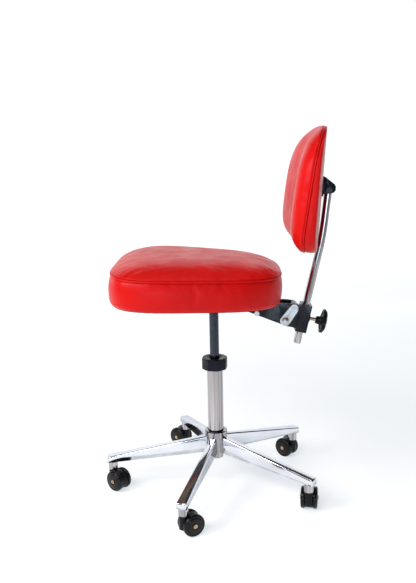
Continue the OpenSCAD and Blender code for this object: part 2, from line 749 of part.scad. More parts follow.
base_hub();
caster_sockets();
column_tube();
column_bush();
for (i = [1:arms]) {
    base_arm(i);
    caster_body(i);
    caster_stem(i);
    caster_axle(i);
    caster_wheel(i, 1);
    caster_wheel(i, -1);
}
clamp_collar();
spindle();
spindle_guide();
swivel_bearing();
seat_plate();
seat_board();
seat_foam();
seat_cover();
seat_piping();
seat_screws();
back_bracket();
bracket_bolts();
back_clamp();
tilt_links();
pivot_bolt();
link_bolt();
clamp_shoe();
knob_stud();
knob();
back_post();
pad_bracket();
pad_pin();
back_board();
back_foam();
back_cover();
back_piping();
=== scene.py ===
"""Looks of the swivel work chair: vinyl seat and pad, chromed base, column and post, black fittings."""
import math

import bmesh
import bpy
import numpy as np
from mathutils import Matrix, Vector, noise
from mathutils.kdtree import KDTree


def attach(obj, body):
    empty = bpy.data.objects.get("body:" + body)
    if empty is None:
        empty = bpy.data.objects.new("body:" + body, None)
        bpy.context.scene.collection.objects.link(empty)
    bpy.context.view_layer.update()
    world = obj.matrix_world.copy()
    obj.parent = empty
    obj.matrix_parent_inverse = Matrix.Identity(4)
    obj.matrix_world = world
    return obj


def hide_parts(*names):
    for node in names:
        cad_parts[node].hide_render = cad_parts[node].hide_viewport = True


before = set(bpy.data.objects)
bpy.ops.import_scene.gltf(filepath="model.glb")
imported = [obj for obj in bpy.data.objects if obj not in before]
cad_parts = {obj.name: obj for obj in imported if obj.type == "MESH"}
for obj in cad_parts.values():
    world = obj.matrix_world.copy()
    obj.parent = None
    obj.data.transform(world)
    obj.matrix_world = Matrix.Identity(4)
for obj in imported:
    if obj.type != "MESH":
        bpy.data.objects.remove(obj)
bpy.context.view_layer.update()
scene = bpy.context.scene
MM = 0.001

# --- sizes of the frame, in millimetres as in the CAD model --------------------
ARM_ANGLES = [-87.4 + 72 * i for i in range(5)]
TRAIL_ANGLES = [51, 121, 171, 230, 233]          # the way each castor points, from +X
ARM_REACH, ARM_TOP_R, ARM_ROOT_R = 266, 27, 16.2
ARM_HUB_Z, ARM_TIP_Z, ARM_SHEET = 127, 81, 2
ARM_FROM = 10                                    # where the straight edges of an arm start
ARM_WIDTHS, ARM_HEIGHTS = (15, 24), (38, 14)     # at the start and at the tip
STEM_R, TRAIL, WHEEL_R, WHEEL_W, WHEEL_FROM = 251.5, 18, 25, 10.5, 9.4
AXLE_R = 3.05

SEAT_HALF = (188, 192)
SEAT_POWERS, SEAT_TAPER, SEAT_Y = (3.7, 3.7), -0.21, -38
SEAT_Z, SEAT_SLOPE, SEAT_SEAM, SEAT_RIM, SEAT_CROWN, SEAT_CROWN_N = 472, 3, 66, 6, 25, 4.2
SEAT_SEAM_IN, SEAT_EDGE_R, SEAT_LIP, BOARD_T = 2.5, 12, 34, 12

PAD_HALF = (168, 135)
PAD_POWERS, PAD_R, PAD_LEAN, PAD_AT = (3, 5.5), 620, 4.1, (0, 245.2, 717.3)
PAD_SEAM, PAD_SEAM_SLOPE, PAD_RIM, PAD_CROWN, PAD_CROWN_N = 17, 0.08, 6, 34, (9, 4.5)
PAD_VALLEY, PAD_VALLEY_R = 9, 62

POST_MID, POST_LEAN, POST_SIZE, POST_WALL = (207.6, 418.5), 12.9, (28, 16), 2
POST_FOOT, POST_KNEE, POST_BEND_R, POST_BEND, POST_TOP = -62, 152, 700, 6.2, 80
KNOB_R, KNOB_LOBES = 28.5, 7

# --- fineness of the meshes and fullness of the cushions ------------------------
SEAT_POINTS, PAD_POINTS, HEM_POINTS, POST_POINTS, LOBE_POINTS = 200, 180, 360, 48, 24
PRESSURE = 4.0                                  # of the cloth simulation
SEAT_SWELL, PAD_SWELL = 1.1 * MM, 1.2 * MM      # the furthest that it moves a vertex


# --- camera --------------------------------------------------------------------
CAMERA_PLACE = Vector((1.717, 0.044, 0.848))
CAMERA_HEADING = math.radians(181.88)   # direction of view in plan, from +X
CAMERA_PITCH = math.radians(12.02)      # below the horizon
CAMERA_ROLL = math.radians(-1.2)
CAMERA_LENS = 46.72                     # mm, on a 36 mm sensor


def make_camera():
    forward = Vector((math.cos(CAMERA_HEADING) * math.cos(CAMERA_PITCH),
                      math.sin(CAMERA_HEADING) * math.cos(CAMERA_PITCH),
                      -math.sin(CAMERA_PITCH)))
    right = Vector((math.sin(CAMERA_HEADING), -math.cos(CAMERA_HEADING), 0))
    up = right.cross(forward)
    turned_right = math.cos(CAMERA_ROLL) * right + math.sin(CAMERA_ROLL) * up
    turned_up = math.cos(CAMERA_ROLL) * up - math.sin(CAMERA_ROLL) * right
    data = bpy.data.cameras.new("camera")
    data.lens = CAMERA_LENS
    data.sensor_width = 36
    camera = bpy.data.objects.new("camera", data)
    turn = Matrix((turned_right, turned_up, -forward)).transposed()
    camera.matrix_world = Matrix.Translation(CAMERA_PLACE) @ turn.to_4x4()
    scene.collection.objects.link(camera)
    scene.camera = camera


# --- stage and light -----------------------------------------------------------
FLOOR_GLOW = (0.69, 0.28)      # glow of the floor itself, painted light that lightens the chair's shadows: under and behind the chair, and far in front of it


def make_stage():
    """Pale floor that rises into a pale backdrop, glowing by itself as painted light, most under and behind
    the chair, which lightens the chair's shadows on it.
    """
    back, corner, reach, top = -2.15, 0.25, 6.0, 1.9
    curve = [(back + corner - corner * math.sin(a), corner - corner * math.cos(a))
             for a in np.linspace(0, math.pi / 2, 9)]
    line = [(reach, 0.0)] + curve + [(back, top)]
    verts = [(x, y, z) for y in (-6.0, 6.0) for x, z in line]
    count = len(line)
    faces = [(i, i + 1, count + i + 1, count + i) for i in range(count - 1)]
    mesh = bpy.data.meshes.new("floor")
    mesh.from_pydata(verts, [], faces)
    mesh.shade_smooth()
    floor = bpy.data.objects.new("floor", mesh)
    scene.collection.objects.link(floor)
    material = bpy.data.materials.new("floor_paint_and_glow")
    material.use_nodes = True
    shader = material.node_tree.nodes["Principled BSDF"]
    shader.inputs["Base Color"].default_value = (0.62, 0.58, 0.5, 1)
    shader.inputs["Roughness"].default_value = 0.8
    shader.inputs["Specular IOR Level"].default_value = 0.1
    shader.inputs["Emission Color"].default_value = (0.86, 0.92, 1, 1)
    nodes, links = material.node_tree.nodes, material.node_tree.links
    place = nodes.new("ShaderNodeTexCoord")
    parts = nodes.new("ShaderNodeSeparateXYZ")
    # Painted light: the floor's own glow, strong under and behind the chair and fading towards the front,
    # lightens the chair's shadows.
    fade = nodes.new("ShaderNodeMapRange")
    fade.inputs["From Min"].default_value = 0.4
    fade.inputs["From Max"].default_value = 1.3
    fade.inputs["To Min"].default_value = FLOOR_GLOW[0]
    fade.inputs["To Max"].default_value = FLOOR_GLOW[1]
    links.new(place.outputs["Object"], parts.inputs[0])
    links.new(parts.outputs["X"], fade.inputs["Value"])
    links.new(fade.outputs[0], shader.inputs["Emission Strength"])
    mesh.materials.append(material)


def area_light(name, place, target, size, power, colour=(1, 1, 1)):
    data = bpy.data.lights.new(name, "AREA")
    data.shape = "RECTANGLE"
    data.size, data.size_y = size
    data.energy = power
    data.color = colour
    light = bpy.data.objects.new(name, data)
    light.location = place
    light.rotation_euler = (Vector(target) - Vector(place)).to_track_quat("-Z", "Y").to_euler()
    scene.collection.objects.link(light)


def ramp(nodes, stops):
    """Colour ramp through grey or coloured stops, as (place, colour)."""
    node = nodes.new("ShaderNodeValToRGB")
    marks = node.color_ramp.elements
    while len(marks) < len(stops):
        marks.new(0.5)
    for mark, (place, colour) in zip(marks, stops):
        mark.position = place
        mark.color = (*colour, 1) if isinstance(colour, tuple) else (colour, colour, colour, 1)
    return node


# Azimuth runs from -180 to +180 degrees as 0 to 1, and height from straight down to straight up
WORLD_STRENGTH = 1.0
WORLD_WALLS = [(0.0, 0.5), (0.1, 0.4), (0.2, 0.03), (0.34, 0.03), (0.42, (0.3, 0.36, 0.5)),
               (0.46, (0.24, 0.32, 0.5)), (0.5, (0.3, 0.42, 0.7)), (0.55, (0.3, 0.42, 0.7)),
               (0.58, (0.06, 0.07, 0.1)), (0.66, 0.06), (0.7, (0.2, 0.24, 0.3)), (0.8, 0.12),
               (0.9, 0.4), (1.0, 0.5)]
WORLD_RISE = [(0.0, 0.8), (0.5, 1.0), (0.6, 0.8), (0.72, 0.15), (1.0, 0.08)]


def make_world():
    """Bright studio walls round the chair, darker overhead, with grey gaps between them."""
    world = bpy.data.worlds.new("world")
    scene.world = world
    world.use_nodes = True
    nodes, links = world.node_tree.nodes, world.node_tree.links
    where = nodes.new("ShaderNodeTexCoord")
    parts = nodes.new("ShaderNodeSeparateXYZ")
    links.new(where.outputs["Generated"], parts.inputs[0])
    azimuth = nodes.new("ShaderNodeMath")
    azimuth.operation = "ARCTAN2"
    links.new(parts.outputs["Y"], azimuth.inputs[0])
    links.new(parts.outputs["X"], azimuth.inputs[1])
    turn = nodes.new("ShaderNodeMapRange")
    turn.inputs["From Min"].default_value = -math.pi
    turn.inputs["From Max"].default_value = math.pi
    links.new(azimuth.outputs[0], turn.inputs["Value"])
    walls = ramp(nodes, WORLD_WALLS)
    links.new(turn.outputs[0], walls.inputs[0])
    height = nodes.new("ShaderNodeMapRange")
    height.inputs["From Min"].default_value = -1
    links.new(parts.outputs["Z"], height.inputs["Value"])
    rise = ramp(nodes, WORLD_RISE)
    links.new(height.outputs[0], rise.inputs[0])
    both = nodes.new("ShaderNodeMix")
    both.data_type = "RGBA"
    both.blend_type = "MULTIPLY"
    both.inputs["Factor"].default_value = 1
    links.new(walls.outputs[0], both.inputs["A"])
    links.new(rise.outputs[0], both.inputs["B"])
    background = nodes["Background"]
    links.new(both.outputs["Result"], background.inputs["Color"])
    background.inputs["Strength"].default_value = WORLD_STRENGTH


def make_light():
    make_world()
    area_light("key", (1.25, -2.1, 2.0), (0, 0, 0.5), (1.2, 1.2), 50, (1, 0.98, 1))
    area_light("front", (2.15, -0.85, 1.95), (0, 0, 0.5), (0.9, 0.7), 26, (0.97, 0.98, 1))
    area_light("low_front", (2.8, 0.1, 0.5), (0, 0, 0.4), (1.4, 0.5), 9, (0.8, 0.9, 1))
    area_light("overhead", (0.2, 0, 2.6), (0.1, 0, 0.5), (1.2, 1.2), 8)
    scene.view_settings.view_transform = "Standard"
    scene.view_settings.look = "None"


# --- materials -----------------------------------------------------------------
def colour_of(value):
    return (*value, 1) if len(value) == 3 else value


def new_material(name, colour, metallic, roughness):
    material = bpy.data.materials.new(name)
    material.use_nodes = True
    shader = material.node_tree.nodes["Principled BSDF"]
    shader.inputs["Base Color"].default_value = colour_of(colour)
    shader.inputs["Metallic"].default_value = metallic
    shader.inputs["Roughness"].default_value = roughness
    where = material.node_tree.nodes.new("ShaderNodeTexCoord")
    where.name = "where"
    return material, material.node_tree.nodes, material.node_tree.links, shader


def noise_of(nodes, links, scale, detail=3.0, stretch=None):
    """Noise of the given number of features per metre, stretched per axis if asked."""
    texture = nodes.new("ShaderNodeTexNoise")
    texture.inputs["Scale"].default_value = scale
    texture.inputs["Detail"].default_value = detail
    place = nodes["where"].outputs["Object"]
    if stretch:
        mapping = nodes.new("ShaderNodeMapping")
        mapping.inputs["Scale"].default_value = stretch
        links.new(place, mapping.inputs["Vector"])
        place = mapping.outputs[0]
    links.new(place, texture.inputs["Vector"])
    return texture.outputs["Fac"]


def mapped(nodes, links, value, low, high, start=0.3, end=0.7):
    node = nodes.new("ShaderNodeMapRange")
    node.inputs["From Min"].default_value = start
    node.inputs["From Max"].default_value = end
    node.inputs["To Min"].default_value = low
    node.inputs["To Max"].default_value = high
    links.new(value, node.inputs["Value"])
    return node.outputs[0]


def tinted(nodes, links, shader, value, dark, light, start=0.3, end=0.7):
    """Base colour that goes from dark to light with the value."""
    mix = nodes.new("ShaderNodeMix")
    mix.data_type = "RGBA"
    mix.inputs["A"].default_value = colour_of(dark)
    mix.inputs["B"].default_value = colour_of(light)
    links.new(mapped(nodes, links, value, 0, 1, start, end), mix.inputs["Factor"])
    links.new(mix.outputs["Result"], shader.inputs["Base Color"])


def bumped(nodes, links, shader, layers):
    """Bumps on top of each other, each as (height, depth in mm)."""
    under = None
    for height, depth in layers:
        bump = nodes.new("ShaderNodeBump")
        bump.inputs["Strength"].default_value = 1
        bump.inputs["Distance"].default_value = depth * MM
        links.new(height, bump.inputs["Height"])
        if under:
            links.new(under, bump.inputs["Normal"])
        under = bump.outputs[0]
    links.new(under, shader.inputs["Normal"])


def make_vinyl(name, colour):
    material, nodes, links, shader = new_material(name, colour, 0, 0.34)
    shader.inputs["IOR"].default_value = 1.33
    shader.inputs["Specular Tint"].default_value = (0.5, 0.52, 0.62, 1)
    cells = nodes.new("ShaderNodeTexVoronoi")
    cells.inputs["Scale"].default_value = 620
    links.new(nodes["where"].outputs["Object"], cells.inputs["Vector"])
    pebbles = cells.outputs["Distance"]
    fine = noise_of(nodes, links, 1500, 2)
    soft = noise_of(nodes, links, 26, 3)
    worn = noise_of(nodes, links, 9, 4)
    creases = noise_of(nodes, links, 34, 5, (1, 1, 0.45))
    tinted(nodes, links, shader, worn, [0.9 * c for c in colour], [1.07 * c for c in colour])
    links.new(mapped(nodes, links, soft, 0.3, 0.42), shader.inputs["Roughness"])
    bumped(nodes, links, shader, [(creases, 1.3), (soft, 1.2), (pebbles, 0.07), (fine, 0.05)])
    return material


def make_chrome(name, colour, wave, tone_and_streak_swing, tone_and_streak_noise):
    material, nodes, links, shader = new_material(name, colour, 1, 0.08)
    shader.inputs["Specular Tint"].default_value = (0.72, 0.74, 0.78, 1)
    smudge = noise_of(nodes, links, 38, 5)
    links.new(mapped(nodes, links, smudge, 0.05, 0.13), shader.inputs["Roughness"])
    # Base colour follows this noise: a mild random tone on the arms' chrome, and on the tube chrome dark and
    # light vertical streaks that are painted reflections.
    tone_and_painted_streaks = noise_of(nodes, links, *tone_and_streak_noise)
    tinted(nodes, links, shader, tone_and_painted_streaks, [(1 - tone_and_streak_swing) * c for c in colour], [(1 + tone_and_streak_swing) * c for c in colour])
    ripple = noise_of(nodes, links, 30, 1)
    pits = noise_of(nodes, links, 1400, 2)
    bumped(nodes, links, shader, [(ripple, wave), (pits, 0.006)])
    return material


def make_metal(name, colour, roughness, grain=900, depth=0.02, stretch=None):
    material, nodes, links, shader = new_material(name, colour, 1, roughness)
    worn = noise_of(nodes, links, 120, 4)
    links.new(mapped(nodes, links, worn, roughness * 0.75, roughness * 1.35), shader.inputs["Roughness"])
    tinted(nodes, links, shader, worn, [0.8 * c for c in colour], [min(1, 1.12 * c) for c in colour])
    bumped(nodes, links, shader, [(noise_of(nodes, links, grain, 2, stretch), depth)])
    return material


def make_plastic(name, colour, roughness, grain=1100, depth=0.03, orange=0.15, coat=0.0):
    material, nodes, links, shader = new_material(name, colour, 0, roughness)
    shader.inputs["Specular IOR Level"].default_value = 0.2
    shader.inputs["Coat Weight"].default_value = coat
    shader.inputs["Coat Roughness"].default_value = 0.12
    scuff = noise_of(nodes, links, 70, 6)
    links.new(mapped(nodes, links, scuff, roughness * 0.75, roughness * 1.4, 0.35, 0.65),
              shader.inputs["Roughness"])
    tinted(nodes, links, shader, scuff, [0.8 * c for c in colour], [1.35 * c for c in colour], 0.4, 0.75)
    bumped(nodes, links, shader, [(noise_of(nodes, links, 260, 1), orange * 0.1),
                                  (noise_of(nodes, links, grain, 2), depth)])
    return material


def make_plywood():
    material, nodes, links, shader = new_material("plywood", (0.5, 0.34, 0.19), 0, 0.7)
    grain = noise_of(nodes, links, 60, 5, (1, 0.06, 1))
    fibre = noise_of(nodes, links, 900, 2, (1, 0.05, 1))
    # Grain in a very dark brown: the darkness is painted shade for the board's underside.
    tinted(nodes, links, shader, grain, (0.07, 0.045, 0.028), (0.15, 0.1, 0.06))
    bumped(nodes, links, shader, [(grain, 0.15), (fibre, 0.06)])
    return material


make_camera()
make_stage()
make_light()

VINYL = make_vinyl("red_vinyl", (0.67, 0.007, 0.005))
# Darker copy of the red vinyl for the hem under the seat: painted shade.
VINYL_PAINTED_SHADE = make_vinyl("red_vinyl_painted_shade", (0.16, 0.004, 0.003))
CHROME = make_chrome("chrome", (0.8, 0.82, 0.87), 0.16, 0.06, (14, 2))
# Darker chrome for the hub, sockets, column and post; its stretched noise paints dark and light vertical
# streaks of reflection.
CHROME_PAINTED_STREAKS = make_chrome("chrome_with_painted_streaks", (0.43, 0.408, 0.416), 0.1, 0.4, (150, 1, (1, 1, 0.02)))
ZINC = make_metal("zinc_steel", (0.62, 0.64, 0.66), 0.36, 700, 0.03)
BRASS = make_metal("brass", (0.55, 0.41, 0.24), 0.38, 800, 0.03)
DARK_STEEL = make_metal("dark_steel", (0.055, 0.064, 0.085), 0.2, 500, 0.03, (1, 1, 6))
PAINT = make_plastic("black_paint", (0.004, 0.0055, 0.014), 0.3, 800, 0.02, 0.3, 0.2)
MOULDED = make_plastic("black_plastic", (0.003, 0.0035, 0.006), 0.34, 1000, 0.04)
COLLAR = make_plastic("collar_plastic", (0.0025, 0.004, 0.012), 0.34, 900, 0.05)
WHEEL = make_plastic("wheel_plastic", (0.0025, 0.0022, 0.0025), 0.24, 1000, 0.02, 0.1, 0.15)
NYLON = make_plastic("white_nylon", (0.72, 0.71, 0.67), 0.4, 700, 0.03)
# Plywood whose very dark brown is painted shade under the seat.
PLYWOOD_IN_PAINTED_SHADE = make_plywood()


# --- mesh helpers --------------------------------------------------------------
def piece(name, mesh, body, material, nodes=()):
    mesh.materials.clear()
    mesh.materials.append(material)
    made = bpy.data.objects.new(name, mesh)
    scene.collection.objects.link(made)
    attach(made, body)
    if nodes:
        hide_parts(*nodes)
    return made


def mesh_of(name, verts, faces):
    mesh = bpy.data.meshes.new(name)
    mesh.from_pydata([tuple(v) for v in verts], [], faces)
    mesh.validate()
    mesh.shade_smooth()
    return mesh


def loft_faces(rings, count, closed=False, first=0):
    """Quads between rings of count points each. With closed True the last ring meets the first."""
    faces = []
    for k in range(rings if closed else rings - 1):
        here, there = first + k * count, first + (k + 1) % rings * count
        for i in range(count):
            j = (i + 1) % count
            faces.append((here + i, here + j, there + j, there + i))
    return faces


def faced(mesh):
    """Faces turned outward."""
    bm = bmesh.new()
    bm.from_mesh(mesh)
    bmesh.ops.recalc_face_normals(bm, faces=bm.faces)
    bm.to_mesh(mesh)
    bm.free()
    return mesh


def keep_sharp(mesh, degrees):
    mesh.shade_smooth()
    mesh.set_sharp_from_angle(angle=math.radians(degrees))


def refined(node, body, material, width=0.6, segments=2, angle=32):
    """The CAD node's own shape with its edges rounded by width, in mm."""
    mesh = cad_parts[node].data.copy()
    bm = bmesh.new()
    bm.from_mesh(mesh)
    bmesh.ops.remove_doubles(bm, verts=bm.verts, dist=5e-6)
    bmesh.ops.dissolve_limit(bm, angle_limit=math.radians(0.5), verts=bm.verts, edges=bm.edges)
    plain = bpy.data.meshes.new(node + "_refined")
    bm.to_mesh(plain)
    bm.free()
    plain.shade_smooth()
    made = piece(node + "_refined", plain, body, material, [node])
    bevel = made.modifiers.new("edges", "BEVEL")
    bevel.width = width * MM
    bevel.segments = segments
    bevel.limit_method = "ANGLE"
    bevel.angle_limit = math.radians(angle)
    bevel.harden_normals = True


def finish_node(node, material):
    """Better material for a CAD node that stays as it is."""
    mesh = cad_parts[node].data
    mesh.materials.clear()
    mesh.materials.append(material)


def superellipse(a, b, powers, taper=0.0, count=SEAT_POINTS):
    """Evenly spaced points of a superellipse; powers are for its halves above and below y = 0."""
    points = []
    for t in np.linspace(0, 2 * math.pi, 2000, endpoint=False) + 0.001:
        c, s = math.cos(t), math.sin(t)
        power = 2 / powers[0 if s > 0 else 1]
        y = math.copysign(abs(s) ** power, s)
        points.append((a * math.copysign(abs(c) ** power, c) * (1 + taper * y), b * y))
    points = np.array(points)
    steps = np.linalg.norm(np.roll(points, -1, 0) - points, axis=1)
    along = np.concatenate([[0], np.cumsum(steps)])
    ring = np.vstack([points, points[:1]])
    wanted = np.linspace(0, along[-1], count, endpoint=False)
    return np.stack([np.interp(wanted, along, ring[:, k]) for k in (0, 1)], 1)


def place_seat():
    return (Matrix.Translation((0, 0, SEAT_Z * MM)) @ Matrix.Rotation(math.radians(-SEAT_SLOPE), 4, "X")
            @ Matrix.Scale(MM, 4))


def place_pad():
    return (Matrix.Translation(Vector(PAD_AT) * MM) @ Matrix.Rotation(math.radians(-PAD_LEAN), 4, "X")
            @ Matrix.Scale(MM, 4))


def place_post():
    return (Matrix.Translation((0, POST_MID[0] * MM, POST_MID[1] * MM))
            @ Matrix.Rotation(math.radians(-POST_LEAN), 4, "X") @ Matrix.Scale(MM, 4))


def tube(path, radius, facing, sides=12, swell=None):
    """Vertices and faces of a closed round tube along a path."""
    path = np.array(path, float)
    along = np.roll(path, -1, 0) - np.roll(path, 1, 0)
    along /= np.linalg.norm(along, axis=1)[:, None]
    over = np.cross(along, np.array(facing, float))
    over /= np.linalg.norm(over, axis=1)[:, None]
    up = np.cross(over, along)
    verts = []
    for i in range(len(path)):
        r = radius * (1 + (swell[i] if swell is not None else 0))
        verts += [path[i] + r * (math.cos(a) * over[i] + math.sin(a) * up[i])
                  for a in np.linspace(0, 2 * math.pi, sides, endpoint=False)]
    return verts, loft_faces(len(path), sides, True)


# --- soft parts ----------------------------------------------------------------
def stuffed(mesh, held, pressure, cap, slack=0.0, frames=20):
    """Inflates a closed cover like a stuffed one. held gives each vertex's pin weight, and no
    vertex moves further than cap, in metres."""
    start = np.array([v.co[:] for v in mesh.vertices])
    trial = bpy.data.objects.new("trial", mesh.copy())
    scene.collection.objects.link(trial)
    group = trial.vertex_groups.new(name="held")
    for index, weight in enumerate(held):
        if weight > 0:
            group.add([index], float(weight), "REPLACE")
    cloth = trial.modifiers.new("cloth", "CLOTH")
    settings = cloth.settings
    settings.quality = 6
    settings.mass = 0.25
    settings.tension_stiffness = 20
    settings.compression_stiffness = 12
    settings.shear_stiffness = 8
    settings.bending_stiffness = 0.8
    settings.shrink_min = -slack
    settings.use_pressure = True
    settings.uniform_pressure_force = pressure
    settings.vertex_group_mass = "held"
    settings.effector_weights.gravity = 0
    cloth.point_cache.frame_start, cloth.point_cache.frame_end = 1, frames
    for moment in range(1, frames + 1):
        scene.frame_set(moment)
    depsgraph = bpy.context.evaluated_depsgraph_get()
    swollen = trial.evaluated_get(depsgraph).to_mesh()
    moved = np.array([v.co[:] for v in swollen.vertices]) - start
    trial.evaluated_get(depsgraph).to_mesh_clear()
    bpy.data.objects.remove(trial)
    scene.frame_set(1)
    far = np.linalg.norm(moved, axis=1)
    scale = cap * (1 - np.exp(-far / cap)) / np.maximum(far, 1e-9)
    end = start + moved * scale[:, None]
    mesh.vertices.foreach_set("co", end.ravel())
    mesh.update()


def gathered(mesh, seam, places, count, depth, reach):
    """Small puckers square to a seam, which fade out over reach. seam is its points, in metres."""
    tree = KDTree(len(seam))
    for index, point in enumerate(seam):
        tree.insert(point, index)
    tree.balance()
    normals = [v.normal.copy() for v in mesh.vertices]
    for vertex, normal in zip(mesh.vertices, normals):
        _, index, distance = tree.find(vertex.co)
        if distance < 4 * reach:
            phase = index / len(seam) * count * 2 * math.pi
            wobble = 3 * noise.noise(vertex.co * 22 + Vector(places))
            fade = math.exp(-(distance / reach) ** 2) * (0.4 + abs(noise.noise(vertex.co * 9)))
            vertex.co += normal * depth * fade * math.sin(phase + wobble)
    mesh.update()


def soft_piece(name, mesh, body, nodes):
    made = piece(name, mesh, body, VINYL, nodes)
    smooth = made.modifiers.new("smooth", "SUBSURF")
    smooth.levels = smooth.render_levels = 1


def make_trim(name, path, radius, facing, place, body, nodes=(), sides=12, swell=None):
    """Round trim, such as piping, sewn along a closed path in mm."""
    verts, faces = tube(path, radius, facing, sides, swell)
    mesh = mesh_of(name, [place @ Vector(v) for v in verts], faces)
    piece(name, faced(mesh), body, VINYL, nodes)


def ring_mesh(name, rings, place):
    """Closed mesh through rings of points, each end closed by a middle point."""
    count = len(rings[0])
    verts = [place @ Vector(p) for ring in rings for p in ring]
    faces = loft_faces(len(rings), count)
    for ring, first in ((rings[0], 0), (rings[-1], (len(rings) - 1) * count)):
        verts.append(place @ Vector(np.mean(ring, axis=0)))
        faces += [(first + i, first + (i + 1) % count, len(verts) - 1) for i in range(count)]
    return faced(mesh_of(name, verts, faces))


def seat_ring(inset, z, share=1.0, count=SEAT_POINTS):
    ring = superellipse(share * (SEAT_HALF[0] - inset), share * (SEAT_HALF[1] - inset),
                        SEAT_POWERS, SEAT_TAPER, count)
    return [(x, y + SEAT_Y, z) for x, y in ring]


def make_seat():
    shares = np.concatenate([np.linspace(0.03, 0.9, 26), [0.925, 0.945, 0.96, 0.975, 0.987, 0.995]])
    crown = [(0.8 + SEAT_SEAM_IN, SEAT_SEAM + SEAT_RIM + SEAT_CROWN * (1 - s ** SEAT_CROWN_N), s)
             for s in shares]
    seam = [(inset + SEAT_SEAM_IN, SEAT_SEAM + rise, 1)
            for inset, rise in ((0.6, SEAT_RIM - 0.6), (1.0, 3), (2.8, 1.2), (3.0, -0.6), (0.9, -2.6))]
    band = [(2.2 * (1 - t) ** 4 - 0.9 * math.sin(math.pi * t),
             SEAT_SEAM - 5 - (SEAT_SEAM - SEAT_EDGE_R - 8) * t, 1) for t in np.linspace(0, 1, 11)]
    edge = [(SEAT_EDGE_R * (1 - math.cos(a)), SEAT_EDGE_R * (1 - math.sin(a)), 1)
            for a in np.linspace(0.12, math.pi / 2, 8)]
    inside = BOARD_T + 2.2
    under = [(SEAT_EDGE_R + 2.2, 0.3, 1), (SEAT_EDGE_R + 2.6, 5, 1), (SEAT_EDGE_R + 2.6, inside, 1)]
    under += [(SEAT_EDGE_R + 2.6, inside, s) for s in (0.8, 0.5, 0.2)]
    profile = crown + seam + band + edge + under
    place = place_seat()
    mesh = ring_mesh("seat_cushion", [seat_ring(*p) for p in profile], place)
    held = []
    for inset, z, share in profile:
        in_seam = abs(z - SEAT_SEAM) <= 1.5 and share == 1
        under_board = z < 4 or share < 1 and z < SEAT_SEAM
        held += [1.0 if in_seam or under_board else (0.6 if abs(z - SEAT_SEAM) < 4 else 0.0)] * SEAT_POINTS
    held += [0.0, 1.0]
    stuffed(mesh, held, PRESSURE, SEAT_SWELL, 0.005)
    line = [place @ Vector(p) for p in seat_ring(SEAT_SEAM_IN + 1.5, SEAT_SEAM, 1, 900)]
    gathered(mesh, line, (3, 1, 2), 46, 0.55 * MM, 13 * MM)
    soft_piece("seat_cushion", mesh, "seat", ["seat_cover", "seat_foam"])

    path = seat_ring(SEAT_SEAM_IN + 0.4, SEAT_SEAM + 0.4, 1, 360)
    swell = [0.06 * noise.noise(Vector((i * 0.31, 0, 0))) for i in range(len(path))]
    make_trim("seat_welt", path, 2.0, (0, 0, 1), place, "seat", ["seat_piping"], swell=swell)

    hem = []
    for inset, height in [(6, 0.9), (9, 0.0), (20, 0.0), (SEAT_LIP, 0.15), (SEAT_LIP + 0.3, 0.7),
                          (SEAT_LIP, 1.25), (20, 1.2), (9, 1.4)]:
        ring = seat_ring(inset, height, 1, HEM_POINTS)
        if inset > 15:
            waves = [1 + 0.004 * math.sin(i * 0.87) for i in range(HEM_POINTS)]
            ring = [(x * wave, SEAT_Y + (y - SEAT_Y) * wave, z) for wave, (x, y, z) in zip(waves, ring)]
        hem.append(ring)
    mesh = mesh_of("seat_hem", [place @ Vector(p) for ring in hem for p in ring],
                   loft_faces(len(hem), HEM_POINTS, True))
    # The hem under the seat takes the darker copy of the vinyl, painted shade.
    piece("seat_hem", faced(mesh), "seat", VINYL_PAINTED_SHADE)

    verts, faces = [], []
    for i, (x, y, z) in enumerate(seat_ring(SEAT_LIP - 7, -0.3, 1, 44)):
        turn = math.atan2(y - SEAT_Y, x) + math.pi / 2 + 0.2 * math.sin(5 * i)
        across = np.array([math.cos(turn), math.sin(turn), 0])
        side = np.array([-across[1], across[0], 0])
        base = len(verts)
        for h in (0.0, 0.55):
            for u, v in ((-5, -0.6), (5, -0.6), (5, 0.6), (-5, 0.6)):
                shrink = 0.93 if h == 0 else 1
                verts.append(np.array([x, y, z + h]) + across * u * shrink + side * v * shrink)
        faces += [(base, base + 1, base + 2, base + 3), (base + 7, base + 6, base + 5, base + 4)]
        faces += [(base + k, base + (k + 1) % 4, base + 4 + (k + 1) % 4, base + 4 + k) for k in range(4)]
    staples = faced(mesh_of("seat_staples", [place @ Vector(v) for v in verts], faces))
    keep_sharp(staples, 30)
    piece("seat_staples", staples, "seat", ZINC)


def pad_ring(inset, depth, taper=0.0, share=1.0, crown=0.0, count=PAD_POINTS):
    """Outline of the pad, whose crown is hollowed down its middle."""
    ring = superellipse(share * (PAD_HALF[0] - inset), share * (PAD_HALF[1] - inset), PAD_POWERS, 0, count)
    points = []
    for x, z in ring:
        up = math.sin(math.atan2(z / PAD_HALF[1], x / PAD_HALF[0])) ** 2
        n = PAD_CROWN_N[0] + (PAD_CROWN_N[1] - PAD_CROWN_N[0]) * up
        hollow = PAD_VALLEY * math.exp(-(x / PAD_VALLEY_R) ** 2) * (1 - share ** 2) if crown else 0
        points.append((x, -x * x / (2 * PAD_R) - depth + taper * PAD_SEAM_SLOPE * z
                       - crown * (1 - share ** n) + hollow, z))
    return points


